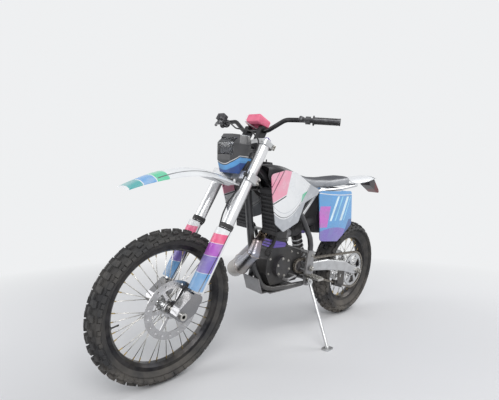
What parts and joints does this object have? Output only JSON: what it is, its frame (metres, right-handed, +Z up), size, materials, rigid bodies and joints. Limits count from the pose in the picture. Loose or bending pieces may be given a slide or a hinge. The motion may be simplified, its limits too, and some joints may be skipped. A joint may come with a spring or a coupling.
{
  "type": "off-road motorcycle",
  "caption": "Enduro motorcycle leaning on its side stand, with knobbly tyres, spoked wheels, an open engine, high fenders, a chain drive and steering that turns.",
  "frame": {"origin": "on the ground under the middle of the box round the parked motorcycle", "axes": "+X towards the front wheel, +Y to the rider's left, +Z up"},
  "size_m": [2.1576, 0.8671, 1.3042],
  "materials": {
    "black_plastic": "moulded, satin",
    "bright_alloy": "satin",
    "cast_alloy": "sand-cast, matt",
    "disc_steel": "ground",
    "frame_paint": "dark gloss",
    "grip_rubber": "matt, ribbed",
    "lens_clear": "clear",
    "lens_red": "moulded red",
    "pad_foam": "soft cover",
    "pipe_steel": "bare, heat tinted",
    "rim_alloy": "black anodised",
    "seat_cover": "ribbed vinyl",
    "spoke_steel": "zinc plated",
    "tyre_rubber": "matt, knobbly",
    "white_plastic": "moulded, gloss"
  },
  "bodies": {
    "chassis": {"airbox": "black_plastic", "carburettor": "cast_alloy", "chain_guides": "black_plastic", "crankcase": "cast_alloy", "cylinder": "cast_alloy", "drive_chain": "spoke_steel", "exhaust_chamber": "pipe_steel", "foot_levers": "cast_alloy", "footpegs": "spoke_steel", "frame_cradle": "frame_paint", "frame_spine": "frame_paint", "fuel_tank": "black_plastic", "pivot_plates": "cast_alloy", "radiator_hoses": "black_plastic", "radiator_shrouds": "white_plastic", "radiators": "cast_alloy", "rear_axle": "spoke_steel", "rear_brake_cylinder": "cast_alloy", "rear_brake_hose": "black_plastic", "rear_caliper": "cast_alloy", "rear_fender": "white_plastic", "rear_shock": "spoke_steel", "seat": "seat_cover", "shock_linkage": "cast_alloy", "side_panels": "white_plastic", "silencer": "bright_alloy", "skid_plate": "bright_alloy", "subframe": "bright_alloy", "swingarm": "bright_alloy", "tail_lamp": "lens_red"},
    "steering": {"lower_clamp": "bright_alloy", "upper_clamp": "bright_alloy", "fork_outer_tubes": "bright_alloy", "fork_sliders": "spoke_steel", "fork_guards": "white_plastic", "front_fender": "white_plastic", "headlight_mask": "black_plastic", "headlight": "lens_clear", "handlebar": "rim_alloy", "bar_risers": "bright_alloy", "bar_pad": "pad_foam", "grips": "grip_rubber", "hand_levers": "cast_alloy", "front_caliper": "cast_alloy", "front_axle": "spoke_steel", "front_brake_hose": "black_plastic"},
    "front_wheel": {"front_tyre": "tyre_rubber", "front_rim": "rim_alloy", "front_spokes": "spoke_steel", "front_hub": "bright_alloy", "front_brake_disc": "disc_steel"},
    "rear_wheel": {"rear_tyre": "tyre_rubber", "rear_rim": "rim_alloy", "rear_spokes": "spoke_steel", "rear_hub": "bright_alloy", "rear_brake_disc": "disc_steel", "rear_sprocket": "disc_steel"},
    "side_stand": {"side_stand": "bright_alloy"}
  },
  "joints": [
    {"name": "steering_head", "type": "hinge", "parent": "chassis", "child": "steering", "pos_m": [0.68523, -0.12566, 0.31761], "axis": [-0.4459, 0.1246, 0.8864], "range_deg": [-40, 40]},
    {"name": "front_wheel_spin", "type": "hinge", "parent": "steering", "child": "front_wheel", "pos_m": [0.73625, -0.12212, 0.34278], "axis": [0, 0.9903, -0.1392], "continuous": true},
    {"name": "rear_wheel_spin", "type": "hinge", "parent": "chassis", "child": "rear_wheel", "pos_m": [-0.74376, -0.12351, 0.3333], "axis": [0, 0.9903, -0.1392], "continuous": true},
    {"name": "side_stand_fold", "type": "hinge", "parent": "chassis", "child": "side_stand", "pos_m": [-0.15376, 0.00335, 0.33045], "axis": [0.2003, 0.8617, 0.4662], "range_deg": [0, 105.8]}
  ]
}
